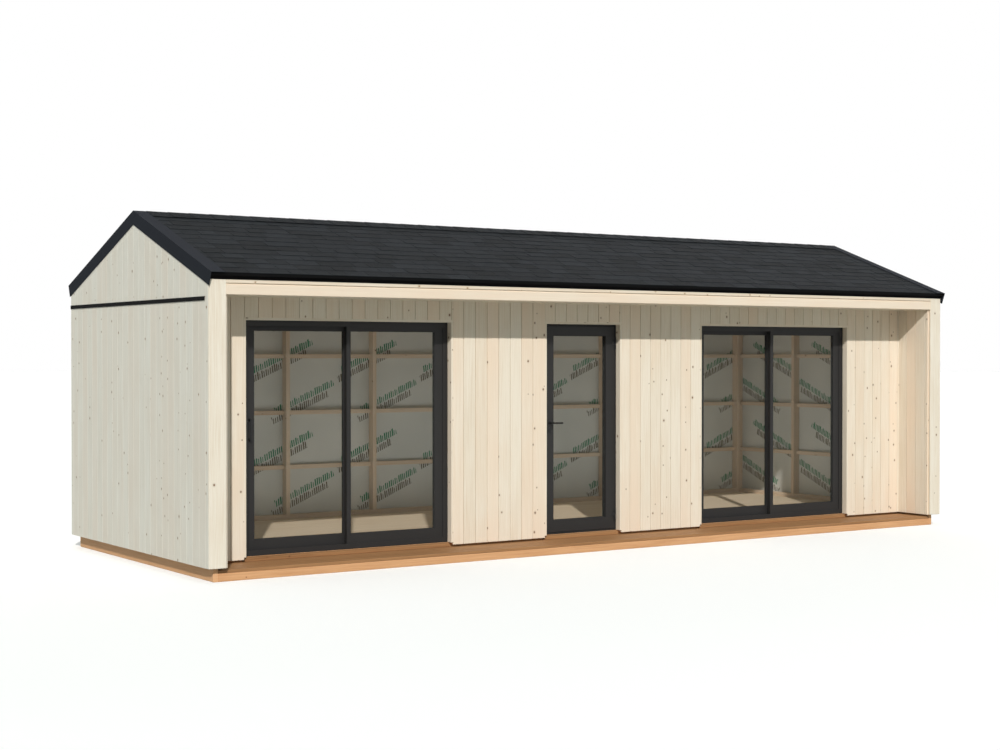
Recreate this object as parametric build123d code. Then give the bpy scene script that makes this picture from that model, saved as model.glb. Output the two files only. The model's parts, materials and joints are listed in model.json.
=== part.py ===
from build123d import *
from math import ceil, cos, radians, sin, tan
import os

# A timber garden office with a recessed porch between two wing walls, two sliding doors, one hinged
# door and a pitched roof. Lengths are millimetres. The origin is on the ground at the centre of the
# plan, X runs along the front, Y from the front to the back and Z up.

# Plan, measured over the cladding
LENGTH = 8970.0
DEPTH = 3365.0
PORCH_DEPTH = 459.0

# Layers of a wall from the outside in, and its framing
CLADDING = 19.0
BATTEN = 22.0
MEMBRANE = 3.0
STUD_DEPTH = 95.0
STUD_WIDTH = 45.0
BACK_STUD_START = 190.0
BACK_STUD_SPACING = 1071.0
END_STUD_SPACING = 1043.0
FRONT_STUD_LIMIT = 620.0
NOGGIN_DEPTH = 45.0
NOGGIN_HEIGHTS = (695.0, 1285.0, 1895.0)
GABLE_RAIL_FOOT = 2398.0
BATTEN_WIDTH = 45.0
BATTEN_ROWS = 5
CLADDING_FOOT = 121.0

# Corner boards at the front of the wings
CORNER_FRONT_WIDTH = 161.0
CORNER_SIDE_WIDTH = 75.0
CORNER_THICKNESS = CLADDING
WING_LINING_SET_BACK = 27.0

# Foundation and floor
FOUNDATION_INSET = 65.0
BEARER_WIDTH = 45.0
BEARER_HEIGHT = 139.5
JOIST_HEIGHT = 45.0
JOIST_WIDTH = 45.0
JOIST_SPACING = 600.0
FLOOR_BOARD = 22.0
PORCH_BEAM_HEIGHT = 70.0
DECK_BOARD = 28.0
DECK_BOARDS = 4
DECK_GAP = 4.0
SILL_DEPTH = 39.0
SILL_FALL = 10.0

# Roof
ROOF_PITCH = 20.0
EAVE_TOP = 2636.0
EAVE_OVERHANG = 40.0
SHINGLES = 8.0
SHINGLE_DRIP = 4.0
ROOF_BOARD = 19.0
ROOF_END_OVERHANG = 3.0
EAVE_TRIM_DROP = 36.0
TRIM_SHEET = 2.0
VERGE_OVERHANG = 62.0
VERGE_FACE = 124.0
VERGE_FLANGE = 130.0
RIDGE_CAP_WIDTH = 150.0
RIDGE_CAP = 4.0
PURLIN_WIDTH = 45.0
PURLIN_HEIGHT = 195.0
PURLINS_A_SIDE = 1

# Beam over the porch, with a shadow gap under the eave rail
BEAM_FOOT = 2443.0
BEAM_HEIGHT = 87.0
BEAM_THICKNESS = 45.0
SHADOW_GAP = 11.0
SHADOW_DEPTH = 10.0

# Drip flashing between the end walls and their gables
GABLE_FOOT = 2428.0
DRIP_FACE = 36.0
DRIP_PROUD = 6.0

# Door openings between their linings: each sliding door from the end wall beside it, the hinged door's
# middle from the middle of the plan
SLIDER_OPENINGS = {"left": 558.0, "right": 1014.0}
SLIDER_WIDTH = 2138.0
DOOR_MIDDLE = -215.5
DOOR_WIDTH = 915.0
OPENING_HEIGHT = 2100.0
LINING = 22.0
SET_BACK = 70.0

# Sliding doors
SLIDER_DEPTH = 111.0
SLIDER_SIGHT = 50.0
SLIDER_LIP = 8.0
SLIDER_BACK_LIP = 5.0
SLIDER_POCKET = 12.0
SLIDER_LEAF = 40.0
TRACK_GAP = 13.0
SIDE_STILE = 87.0
MEETING_STILE = 40.0
SLIDER_TOP_RAIL = 38.0
SLIDER_BOTTOM_RAIL = 88.0
RUNNING_GAP = 5.0
ROLLER_RADIUS = 15.0
ROLLER_WIDTH = 14.0
ROLLER_AXLE = 4.0
ROLLER_INSET = 120.0
TRACK_RAIL = 4.0
TRACK_RAIL_WIDTH = 8.0
TRACK_RIB = 3.0
TRACK_RIB_HEIGHT = 10.0
INTERLOCK = 3.0
INTERLOCK_REACH = 8.0
SEAT_GAP = 0.3

# Pull handle of a sliding leaf
PULL_HEIGHT = 1260.0
PULL_LENGTH = 200.0
PULL_WIDTH = 18.0
PULL_THICKNESS = 10.0
PULL_STAND_OFF = 24.0
PULL_FOOT = 20.0

# Glass panes
GLASS = 24.0
GLASS_REBATE = 8.0

# Hinged door
DOOR_FRAME_DEPTH = 75.0
DOOR_FRAME_SIGHT = 15.0
DOOR_STOP = 24.0
DOOR_STOP_DEPTH = 12.0
DOOR_LEAF = 58.0
DOOR_STILE = 111.0
DOOR_TOP_RAIL = 94.0
DOOR_BOTTOM_RAIL = 119.0

# Hinges
HINGE_HEIGHTS = (302.0, 2051.0)
HINGE_LENGTH = 120.0
HINGE_RADIUS = 8.0
HINGE_PIN_RADIUS = 4.0
HINGE_AXIS_PROUD = 9.0
HINGE_PLATE = 3.0
HINGE_LEAF_WIDTH = 34.0
HINGE_SPLIT_GAP = 0.5

# Lever handle and lock
LEVER_HEIGHT = 1252.0
LEVER_FROM_EDGE = 66.0
LEVER_LENGTH = 125.0
LEVER_RADIUS = 9.0
LEVER_STAND_OFF = 48.0
SPINDLE_RADIUS = 8.0
SPINDLE_GAP = 0.3
ROSE_RADIUS = 26.0
ROSE_THICKNESS = 7.0
CYLINDER_DROP = 72.0
CYLINDER_RADIUS = 8.5
CYLINDER_PROUD = 4.0

# Places worked out from the sizes above
LEFT = -LENGTH / 2
RIGHT = LENGTH / 2
FRONT = -DEPTH / 2
BACK = DEPTH / 2
WALL_FACE = FRONT + PORCH_DEPTH
FRAME_FACE = WALL_FACE + SET_BACK
MEMBRANE_OUT = CLADDING + BATTEN
STUD_OUT = MEMBRANE_OUT + MEMBRANE
STUD_IN = STUD_OUT + STUD_DEPTH
WING = STUD_IN + BATTEN + CLADDING
BEARER_OUT = FOUNDATION_INSET
BEARER_IN = FOUNDATION_INSET + BEARER_WIDTH
DECK_TOP = PORCH_BEAM_HEIGHT + DECK_BOARD
FLOOR_TOP = BEARER_HEIGHT + FLOOR_BOARD
OPENING_FOOT = BEARER_HEIGHT
OPENING_TOP = OPENING_FOOT + OPENING_HEIGHT
SLOPE = tan(radians(ROOF_PITCH))
RIDGE_TOP = EAVE_TOP + (DEPTH / 2 + EAVE_OVERHANG) * SLOPE
FLOOR_FRONT = FRAME_FACE + SLIDER_DEPTH + RUNNING_GAP


def block(x, y, z):
    """A box between the low and high values of x, y and z."""
    lengths = [high - low for low, high in (x, y, z)]
    return Pos(x[0], y[0], z[0]) * Box(*lengths, align=(Align.MIN, Align.MIN, Align.MIN))


def along_x(outline, x):
    """A prism from x[0] to x[1] with its outline given as (y, z) points."""
    face = make_face(Polyline(*outline, close=True))
    return extrude(Plane.YZ.offset(x[0]) * face, x[1] - x[0])


def along_y(outline, y):
    """A prism from y[0] to y[1] with its outline given as (x, z) points."""
    face = make_face(Polyline(*outline, close=True))
    return extrude(Plane.XZ.offset(-y[0]) * face, -(y[1] - y[0]))


def rod_y(x, y, z, radius):
    """A round bar along Y from y[0] to y[1]."""
    bar = Rot(-90, 0, 0) * Cylinder(radius, y[1] - y[0], align=(Align.CENTER, Align.CENTER, Align.MIN))
    return Pos(x, y[0], z) * bar


def rod_z(x, y, z, radius):
    """A round bar along Z from z[0] to z[1]."""
    bar = Cylinder(radius, z[1] - z[0], align=(Align.CENTER, Align.CENTER, Align.MIN))
    return Pos(x, y, z[0]) * bar


def both_ends(piece):
    """The piece at the left end and its mirror image at the right end."""
    return [piece, mirror(piece, Plane.YZ)]


def save(name, solids):
    """Write one sub-part, as one solid or as several that don't touch."""
    solids = solids if isinstance(solids, list) else [solids]
    export_step(solids[0] if len(solids) == 1 else Compound(solids), f"parts/{name}.step")


def roof_line(y, depth=0.0):
    """Height of the plane that lies this far under the top of the shingles, square to the slope."""
    return RIDGE_TOP - abs(y) * SLOPE - depth / cos(radians(ROOF_PITCH))


def under_roof(y):
    """Height of the underside of the roof boards."""
    return roof_line(y, SHINGLES + ROOF_BOARD)


def sloped_top(y, foot):
    """Outline of an upright piece from its foot to the underside of the roof boards."""
    low, high = y
    peak = [(0.0, under_roof(0.0))] if low < 0.0 < high else []
    return [(low, foot), (high, foot), (high, under_roof(high))] + peak + [(low, under_roof(low))]


def evenly(low, high, limit):
    """Places that divide a length into equal bays no longer than the limit, both ends included."""
    bays = max(1, ceil((high - low) / limit))
    return [low + (high - low) * i / bays for i in range(bays + 1)]


def foundation():
    side = block((LEFT + BEARER_OUT, LEFT + BEARER_IN), (FRONT + BEARER_OUT, BACK - BEARER_OUT),
                 (0.0, BEARER_HEIGHT))
    save("foundation_side_bearers", both_ends(side))
    between = (LEFT + BEARER_IN, RIGHT - BEARER_IN)
    wall_line = WALL_FACE + BEARER_OUT
    rows = [wall_line, (wall_line + BACK - BEARER_IN) / 2, BACK - BEARER_IN]
    save("foundation_long_bearers",
         [block(between, (y, y + BEARER_WIDTH), (0.0, BEARER_HEIGHT)) for y in rows])
    return rows


def joist_row(y, z):
    """Joists side by side between two beams or bearers."""
    places = evenly(LEFT + BEARER_IN, RIGHT - BEARER_IN - JOIST_WIDTH, JOIST_SPACING)
    return [block((x, x + JOIST_WIDTH), y, z) for x in places]


def porch(wall_line):
    between = (LEFT + BEARER_IN, RIGHT - BEARER_IN)
    beam_front = FRONT + BEARER_OUT
    beam_back = FRONT + BEARER_IN
    save("porch_front_beam", block(between, (beam_front, beam_back), (0.0, PORCH_BEAM_HEIGHT)))
    board = (wall_line - beam_front - DECK_GAP * (DECK_BOARDS - 1)) / DECK_BOARDS
    boards = []
    for i in range(DECK_BOARDS):
        y = beam_front + i * (board + DECK_GAP)
        boards.append(block(between, (y, y + board), (PORCH_BEAM_HEIGHT, DECK_TOP)))
    save("porch_deck_boards", boards)
    return joist_row((beam_back, wall_line), (0.0, PORCH_BEAM_HEIGHT))


def room_floor(bearers, porch_joists):
    """The boards lie on the bearers and on joists hung between them, with their tops level."""
    height = (BEARER_HEIGHT - JOIST_HEIGHT, BEARER_HEIGHT)
    joists = []
    for front, back in zip(bearers[:-1], bearers[1:]):
        joists += joist_row((front + BEARER_WIDTH, back), height)
    save("floor_and_porch_joists", joists + porch_joists)
    y = (FLOOR_FRONT, BACK - STUD_OUT)
    x = (LEFT + STUD_OUT, RIGHT - STUD_OUT)
    save("floor_boards", block(x, y, (BEARER_HEIGHT, FLOOR_TOP)))


def end_walls():
    wall_y = (FRONT + CORNER_SIDE_WIDTH, BACK)
    cladding = block((LEFT, LEFT + CLADDING), wall_y, (CLADDING_FOOT, GABLE_FOOT - TRIM_SHEET))
    save("left_wall_cladding", cladding)
    save("right_wall_cladding", mirror(cladding, Plane.YZ))

    gable = along_x(sloped_top(wall_y, GABLE_FOOT), (LEFT, LEFT + CLADDING))
    save("left_gable", gable)
    save("right_gable", mirror(gable, Plane.YZ))

    out = LEFT - DRIP_PROUD
    drip_outline = [
        (out, GABLE_FOOT - DRIP_FACE),
        (out + TRIM_SHEET, GABLE_FOOT - DRIP_FACE),
        (out + TRIM_SHEET, GABLE_FOOT - TRIM_SHEET),
        (LEFT + CLADDING, GABLE_FOOT - TRIM_SHEET),
        (LEFT + CLADDING, GABLE_FOOT),
        (out, GABLE_FOOT),
    ]
    save("gable_drips", both_ends(along_y(drip_outline, wall_y)))


def wings():
    front_y = (FRONT, FRONT + CORNER_THICKNESS)
    front_board = along_x(sloped_top(front_y, CLADDING_FOOT), (LEFT, LEFT + CORNER_FRONT_WIDTH))
    save("corner_front_boards", both_ends(front_board))
    side_y = (FRONT + CORNER_THICKNESS, FRONT + CORNER_SIDE_WIDTH)
    side_board = along_x(sloped_top(side_y, CLADDING_FOOT), (LEFT, LEFT + CORNER_THICKNESS))
    save("corner_side_boards", both_ends(side_board))

    back_of_beam = FRONT + BEAM_THICKNESS
    lining_back = WALL_FACE + CLADDING
    lining_outline = [
        (FRONT + WING_LINING_SET_BACK, CLADDING_FOOT),
        (lining_back, CLADDING_FOOT),
        (lining_back, under_roof(lining_back)),
        (back_of_beam, under_roof(back_of_beam)),
        (back_of_beam, BEAM_FOOT),
        (FRONT + WING_LINING_SET_BACK, BEAM_FOOT),
    ]
    lining = along_x(lining_outline, (LEFT + WING - CLADDING, LEFT + WING))
    save("wing_linings", both_ends(lining))


def back_wall():
    y = (BACK - CLADDING, BACK)
    save("back_wall_cladding",
         along_x(sloped_top(y, CLADDING_FOOT), (LEFT + CLADDING, RIGHT - CLADDING)))


def battens():
    """Level battens behind the upright boards, on all four walls."""
    rise = (BEAM_FOOT - BATTEN_WIDTH - OPENING_FOOT) / (BATTEN_ROWS - 1)
    solids = []
    for i in range(BATTEN_ROWS):
        z = OPENING_FOOT + i * rise
        height = (z, z + BATTEN_WIDTH)
        end = block((LEFT + CLADDING, LEFT + MEMBRANE_OUT), (FRONT + CORNER_THICKNESS, BACK - MEMBRANE_OUT),
                    height)
        solids += both_ends(end)
        solids.append(block((LEFT + STUD_OUT, RIGHT - STUD_OUT), (BACK - MEMBRANE_OUT, BACK - CLADDING), height))
    return solids


def membranes():
    """The sheet between battens and studs, on all four walls."""
    end_y = (FRONT + CORNER_THICKNESS, BACK - STUD_OUT)
    end = along_x(sloped_top(end_y, OPENING_FOOT), (LEFT + MEMBRANE_OUT, LEFT + STUD_OUT))
    back_y = (BACK - STUD_OUT, BACK - MEMBRANE_OUT)
    back = along_x(sloped_top(back_y, OPENING_FOOT), (LEFT + STUD_OUT, RIGHT - STUD_OUT))
    front_y = (WALL_FACE + MEMBRANE_OUT, WALL_FACE + STUD_OUT)
    front = [along_x(sloped_top(front_y, OPENING_FOOT), pier) for pier in pier_spans()]
    save("wall_membranes", both_ends(end) + [back] + front)


def end_wall_frames():
    """Frames of the end walls. Short posts over the gable rail carry the ends of the purlins."""
    stud_foot = FLOOR_TOP + STUD_WIDTH
    end_x = (LEFT + STUD_OUT, LEFT + STUD_IN)
    noggin_x = (LEFT + STUD_OUT, LEFT + STUD_OUT + NOGGIN_DEPTH)
    places = [BACK - STUD_OUT - STUD_WIDTH]
    while places[0] - END_STUD_SPACING > FLOOR_FRONT + STUD_WIDTH:
        places.insert(0, places[0] - END_STUD_SPACING)
    places.insert(0, FLOOR_FRONT)
    studs = [(y, stud_foot) for y in places]
    studs += [(y, BEARER_HEIGHT) for y in (FRONT + BEARER_OUT, WALL_FACE + STUD_OUT)]
    uprights = []
    for y, foot in studs:
        uprights += both_ends(along_x(sloped_top((y, y + STUD_WIDTH), foot), end_x))
    rails = both_ends(block(end_x, (FLOOR_FRONT, BACK - STUD_OUT), (FLOOR_TOP, stud_foot)))
    rail_top = GABLE_RAIL_FOOT + STUD_WIDTH
    for low, high in zip(places[:-1], places[1:]):
        bay = (low + STUD_WIDTH, high)
        for z in NOGGIN_HEIGHTS:
            rails += both_ends(block(noggin_x, bay, (z, z + STUD_WIDTH)))
        rails += both_ends(block(end_x, bay, (GABLE_RAIL_FOOT, rail_top)))
    for y in purlin_rows():
        post_y = (y - PURLIN_WIDTH / 2, y + PURLIN_WIDTH / 2)
        uprights += both_ends(block(end_x, post_y, (rail_top, purlin_foot(y))))
    save("end_wall_studs", uprights)
    save("end_wall_rails", rails)


def back_wall_frame():
    """The frame of the back wall, between those of the end walls."""
    stud_foot = FLOOR_TOP + STUD_WIDTH
    back_y = (BACK - STUD_IN, BACK - STUD_OUT)
    noggin_y = (BACK - STUD_OUT - NOGGIN_DEPTH, BACK - STUD_OUT)
    between = (LEFT + STUD_IN, RIGHT - STUD_IN)
    places = [between[0]]
    x = LEFT + BACK_STUD_START + BACK_STUD_SPACING
    while x < between[1] - 2 * STUD_WIDTH:
        places.append(x)
        x += BACK_STUD_SPACING
    places.append(between[1] - STUD_WIDTH)
    save("back_wall_studs", [along_x(sloped_top(back_y, stud_foot), (x, x + STUD_WIDTH)) for x in places])
    rails = [block(between, back_y, (FLOOR_TOP, stud_foot))]
    for low, high in zip(places[:-1], places[1:]):
        for z in NOGGIN_HEIGHTS:
            rails.append(block((low + STUD_WIDTH, high), noggin_y, (z, z + STUD_WIDTH)))
    save("back_wall_rails", rails)


def slider_span(side):
    """Left and right sides of a sliding door's opening."""
    left = LEFT + SLIDER_OPENINGS[side] if side == "left" else RIGHT - SLIDER_OPENINGS[side] - SLIDER_WIDTH
    return left, left + SLIDER_WIDTH


def door_span():
    """Left and right sides of the hinged door's opening."""
    return DOOR_MIDDLE - DOOR_WIDTH / 2, DOOR_MIDDLE + DOOR_WIDTH / 2


def opening_spans():
    """Left and right sides of each door opening, between the linings, from left to right."""
    return [slider_span("left"), door_span(), slider_span("right")]


def pier_spans():
    """Left and right sides of each stretch of front wall between the door linings and the wings."""
    edges = [LEFT + WING] + [side for low, high in opening_spans() for side in (low - LINING, high + LINING)]
    edges.append(RIGHT - WING)
    return list(zip(edges[0::2], edges[1::2]))


def front_wall():
    piers_x = pier_spans()
    heads_x = [(left[1], right[0]) for left, right in zip(piers_x[:-1], piers_x[1:])]
    face_y = (WALL_FACE, WALL_FACE + CLADDING)
    batten_y = (face_y[1], face_y[1] + BATTEN)
    stud_y = (WALL_FACE + STUD_OUT, WALL_FACE + STUD_IN)
    head_foot = OPENING_TOP + LINING

    piers = []
    pier_battens = []
    pier_studs = []
    for low, high in piers_x:
        piers.append(along_x(sloped_top(face_y, CLADDING_FOOT), (low, high)))
        pier_battens.append(along_x(sloped_top(batten_y, OPENING_FOOT), (low, high)))
        for x in evenly(low, high - STUD_WIDTH, FRONT_STUD_LIMIT):
            pier_studs.append(along_x(sloped_top(stud_y, BEARER_HEIGHT), (x, x + STUD_WIDTH)))
    heads = [along_x(sloped_top(face_y, head_foot), span) for span in heads_x]
    save("front_wall_piers", piers)
    save("front_wall_over_doors", heads)
    save("front_wall_studs", pier_studs)
    lintels = [along_x(sloped_top((batten_y[0], stud_y[1]), head_foot), span) for span in heads_x]
    save("door_lintels", lintels)
    return pier_battens


def door_surrounds():
    jambs = []
    heads = []
    sills = []
    lining_y = (WALL_FACE, FRAME_FACE)
    sill_back = WALL_FACE + BEARER_OUT
    sill_outline = [
        (sill_back - SILL_DEPTH, DECK_TOP),
        (sill_back, DECK_TOP),
        (sill_back, OPENING_FOOT),
        (sill_back - SILL_DEPTH, OPENING_FOOT - SILL_FALL),
    ]
    for low, high in opening_spans():
        for x in (low - LINING, high):
            jambs.append(block((x, x + LINING), lining_y, (OPENING_FOOT, OPENING_TOP)))
        heads.append(block((low - LINING, high + LINING), lining_y, (OPENING_TOP, OPENING_TOP + LINING)))
        sills.append(along_x(sill_outline, (low, high)))
    save("door_jamb_linings", jambs)
    save("door_head_linings", heads)
    save("door_sills", sills)


def leaf(x, y, z, stiles, rails):
    """A glazed leaf: its frame and its pane. Stiles are (left, right), rails (bottom, top)."""
    sight_x = (x[0] + stiles[0], x[1] - stiles[1])
    sight_z = (z[0] + rails[0], z[1] - rails[1])
    middle = (y[0] + y[1]) / 2
    pane = block((sight_x[0] - GLASS_REBATE, sight_x[1] + GLASS_REBATE), (middle - GLASS / 2, middle + GLASS / 2),
                 (sight_z[0] - GLASS_REBATE, sight_z[1] + GLASS_REBATE))
    return block(x, y, z) - block(sight_x, y, sight_z) - pane, pane


def slider(side):
    """A sliding door: the left leaf runs behind the fixed one. Gives back its fixed pane and its tracks."""
    left, right = slider_span(side)
    y = (FRAME_FACE, FRAME_FACE + SLIDER_DEPTH)
    sight_x = (left + SLIDER_SIGHT, right - SLIDER_SIGHT)
    sight_z = (OPENING_FOOT + SLIDER_SIGHT, OPENING_TOP - SLIDER_SIGHT)
    pocket_x = (sight_x[0] - SLIDER_POCKET, sight_x[1] + SLIDER_POCKET)
    pocket_z = (sight_z[0] - SLIDER_POCKET, sight_z[1] + SLIDER_POCKET)
    pocket_y = (y[0] + SLIDER_LIP, y[1] - SLIDER_BACK_LIP)
    frame = block((left, right), y, (OPENING_FOOT, OPENING_TOP))
    frame -= block(sight_x, y, sight_z)
    frame -= block(pocket_x, pocket_y, pocket_z)
    fixed_y = (pocket_y[0], pocket_y[0] + SLIDER_LEAF)
    leaf_y = (fixed_y[1] + TRACK_GAP, fixed_y[1] + TRACK_GAP + SLIDER_LEAF)
    leaf_middle = (leaf_y[0] + leaf_y[1]) / 2
    rail_y = (leaf_middle - TRACK_RAIL_WIDTH / 2, leaf_middle + TRACK_RAIL_WIDTH / 2)
    gap_middle = (fixed_y[1] + leaf_y[0]) / 2
    rib_y = (gap_middle - TRACK_RIB / 2, gap_middle + TRACK_RIB / 2)
    tracks = [
        block(pocket_x, rail_y, (pocket_z[0], pocket_z[0] + TRACK_RAIL)),
        block(pocket_x, rib_y, (pocket_z[0], pocket_z[0] + TRACK_RIB_HEIGHT)),
        block(pocket_x, rib_y, (pocket_z[1] - TRACK_RIB_HEIGHT, pocket_z[1])),
    ]
    save(f"{side}_slider_frame", frame)

    middle = (left + right) / 2
    meeting = (middle - MEETING_STILE / 2, middle + MEETING_STILE / 2)
    rails = (SLIDER_BOTTOM_RAIL + SLIDER_POCKET, SLIDER_TOP_RAIL + SLIDER_POCKET)
    fixed, fixed_pane = leaf((meeting[0], pocket_x[1]), fixed_y, pocket_z,
                             (MEETING_STILE, SIDE_STILE + SLIDER_POCKET), rails)
    tracks.append(block((meeting[0], meeting[0] + INTERLOCK), (fixed_y[1], fixed_y[1] + INTERLOCK_REACH), sight_z))
    save(f"{side}_slider_fixed_leaf", fixed)

    leaf_x = (pocket_x[0] + RUNNING_GAP, meeting[1])
    leaf_z = (pocket_z[0] + RUNNING_GAP, pocket_z[1] - RUNNING_GAP)
    leaf_rails = (rails[0] - RUNNING_GAP, rails[1] - RUNNING_GAP)
    side_stile = SIDE_STILE + SLIDER_POCKET - RUNNING_GAP
    sliding, pane = leaf(leaf_x, leaf_y, leaf_z, (side_stile, MEETING_STILE), leaf_rails)
    fin_x = meeting[0] + INTERLOCK + RUNNING_GAP
    save(f"{side}_slider_interlock",
         block((fin_x, fin_x + INTERLOCK), (leaf_y[0] - INTERLOCK_REACH, leaf_y[0]), sight_z))
    roller_y = (leaf_middle - ROLLER_WIDTH / 2, leaf_middle + ROLLER_WIDTH / 2)
    roller_z = pocket_z[0] + TRACK_RAIL + SEAT_GAP + ROLLER_RADIUS
    for x in (leaf_x[0] + ROLLER_INSET, leaf_x[1] - ROLLER_INSET):
        sliding -= rod_y(x, (roller_y[0] - RUNNING_GAP, roller_y[1] + RUNNING_GAP), roller_z,
                         ROLLER_RADIUS + RUNNING_GAP)
        sliding += rod_y(x, roller_y, roller_z, ROLLER_RADIUS)
        sliding += rod_y(x, (leaf_y[0] + GLASS_REBATE, leaf_y[1] - GLASS_REBATE), roller_z, ROLLER_AXLE)
    save(f"{side}_slider_leaf", sliding)
    save(f"{side}_slider_glass", pane)

    pull_middle = (sight_x[0] + leaf_x[0] + side_stile) / 2
    pull_x = (pull_middle - PULL_WIDTH / 2, pull_middle + PULL_WIDTH / 2)
    bar_y = (leaf_y[0] - PULL_STAND_OFF - PULL_THICKNESS, leaf_y[0] - PULL_STAND_OFF)
    pull_z = (PULL_HEIGHT - PULL_LENGTH / 2, PULL_HEIGHT + PULL_LENGTH / 2)
    pull = block(pull_x, bar_y, pull_z)
    for z in (pull_z[0], pull_z[1] - PULL_FOOT):
        pull += block(pull_x, (bar_y[0], leaf_y[0]), (z, z + PULL_FOOT))
    save(f"{side}_slider_pull", pull)
    return fixed_pane, tracks


def hinged_door():
    left, right = door_span()
    y = (FRAME_FACE, FRAME_FACE + DOOR_FRAME_DEPTH)
    z = (OPENING_FOOT, OPENING_TOP)
    rebate_x = (left + DOOR_FRAME_SIGHT, right - DOOR_FRAME_SIGHT)
    rebate_z = (z[0] + DOOR_FRAME_SIGHT, z[1] - DOOR_FRAME_SIGHT)
    stop_x = (rebate_x[0] + DOOR_STOP, rebate_x[1] - DOOR_STOP)
    stop_z = (rebate_z[0] + DOOR_STOP, rebate_z[1] - DOOR_STOP)
    frame = block((left, right), y, z)
    frame -= block(rebate_x, (y[0], y[1] - DOOR_STOP_DEPTH), rebate_z)
    frame -= block(stop_x, y, stop_z)
    save("door_frame", frame)

    leaf_x = (rebate_x[0] + RUNNING_GAP, rebate_x[1] - RUNNING_GAP)
    leaf_y = (y[0], y[0] + DOOR_LEAF)
    leaf_z = (rebate_z[0] + RUNNING_GAP, rebate_z[1] - RUNNING_GAP)
    panel, pane = leaf(leaf_x, leaf_y, leaf_z, (DOOR_STILE, DOOR_STILE), (DOOR_BOTTOM_RAIL, DOOR_TOP_RAIL))
    lever_x = leaf_x[0] + LEVER_FROM_EDGE
    panel -= rod_y(lever_x, leaf_y, LEVER_HEIGHT, SPINDLE_RADIUS + SPINDLE_GAP)
    save("door_leaf", panel)
    save("door_glass", pane)
    hinges(leaf_x[1], rebate_x[1], right, y[0])
    lever_and_lock(lever_x, leaf_y)


def hinges(leaf_edge, frame_edge, frame_side, face):
    """Butt hinges on the front of the frame; the middle third of each barrel belongs to the leaf."""
    axis_x = (leaf_edge + frame_edge) / 2
    axis_y = face - HINGE_AXIS_PROUD
    fixed = []
    moving = []
    for height in HINGE_HEIGHTS:
        foot = height - HINGE_LENGTH / 2
        cuts = [foot + HINGE_LENGTH * i / 3 for i in range(4)]
        body = rod_z(axis_x, axis_y, (cuts[0], cuts[3]), HINGE_PIN_RADIUS)
        for low, high in ((cuts[0], cuts[1]), (cuts[2], cuts[3])):
            body += rod_z(axis_x, axis_y, (low, high), HINGE_RADIUS)
            body += block((axis_x + HINGE_RADIUS - HINGE_PLATE, axis_x + HINGE_RADIUS), (axis_y, face), (low, high))
            body += block((axis_x + HINGE_RADIUS - HINGE_PLATE, frame_side), (face - HINGE_PLATE, face), (low, high))
        fixed.append(body)
        middle = (cuts[1] + HINGE_SPLIT_GAP, cuts[2] - HINGE_SPLIT_GAP)
        knuckle = rod_z(axis_x, axis_y, middle, HINGE_RADIUS)
        knuckle += block((axis_x - HINGE_RADIUS, axis_x - HINGE_RADIUS + HINGE_PLATE), (axis_y, face), middle)
        knuckle += block((leaf_edge - HINGE_LEAF_WIDTH, axis_x - HINGE_RADIUS + HINGE_PLATE),
                         (face - HINGE_PLATE, face), middle)
        knuckle -= rod_z(axis_x, axis_y, middle, HINGE_PIN_RADIUS + SPINDLE_GAP)
        moving.append(knuckle)
    save("door_hinge_pins", fixed)
    save("door_hinge_knuckles", moving)


def lever_and_lock(lever_x, leaf_y):
    front, back = leaf_y
    grip_front = front - LEVER_STAND_OFF
    grip_back = back + LEVER_STAND_OFF
    lever = rod_y(lever_x, (grip_front, grip_back), LEVER_HEIGHT, SPINDLE_RADIUS)
    for y in (grip_front, grip_back):
        grip = Rot(0, 90, 0) * Cylinder(LEVER_RADIUS, LEVER_LENGTH, align=(Align.CENTER, Align.CENTER, Align.MIN))
        lever += Pos(lever_x, y, LEVER_HEIGHT) * grip
        lever += Pos(lever_x, y, LEVER_HEIGHT) * Sphere(LEVER_RADIUS)
    save("door_lever", lever)

    bore = rod_y(lever_x, (front - ROSE_THICKNESS, back + ROSE_THICKNESS), LEVER_HEIGHT,
                 SPINDLE_RADIUS + SPINDLE_GAP)
    roses = []
    for y in ((front - ROSE_THICKNESS, front), (back, back + ROSE_THICKNESS)):
        roses.append(rod_y(lever_x, y, LEVER_HEIGHT, ROSE_RADIUS) - bore)
    key_z = LEVER_HEIGHT - CYLINDER_DROP
    for y, proud in (((front - ROSE_THICKNESS, front), -CYLINDER_PROUD), ((back, back + ROSE_THICKNESS), 0.0)):
        rose = rod_y(lever_x, y, key_z, ROSE_RADIUS)
        rose += rod_y(lever_x, (y[0] + proud, y[1] + proud + CYLINDER_PROUD), key_z, CYLINDER_RADIUS)
        roses.append(rose)
    save("door_roses", roses)


def roof_slope(name, depth, thickness, eave, x):
    """One layer of both slopes, each from its eave edge to the ridge."""
    for side, sign in (("front", -1.0), ("back", 1.0)):
        outline = [
            (sign * eave, roof_line(eave, depth)),
            (0.0, roof_line(0.0, depth)),
            (0.0, roof_line(0.0, depth + thickness)),
            (sign * eave, roof_line(eave, depth + thickness)),
        ]
        save(f"{name}_{side}", along_x(outline, x))


def chevron(top, bottom, reach, x):
    """A band over both slopes between two depths, with its ends square to the slope."""
    shift = sin(radians(ROOF_PITCH))
    high_end = reach - top * shift
    low_end = reach - bottom * shift
    outline = [
        (-high_end, roof_line(high_end, top)),
        (0.0, roof_line(0.0, top)),
        (high_end, roof_line(high_end, top)),
        (low_end, roof_line(low_end, bottom)),
        (0.0, roof_line(0.0, bottom)),
        (-low_end, roof_line(low_end, bottom)),
    ]
    return along_x(outline, x)


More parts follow.
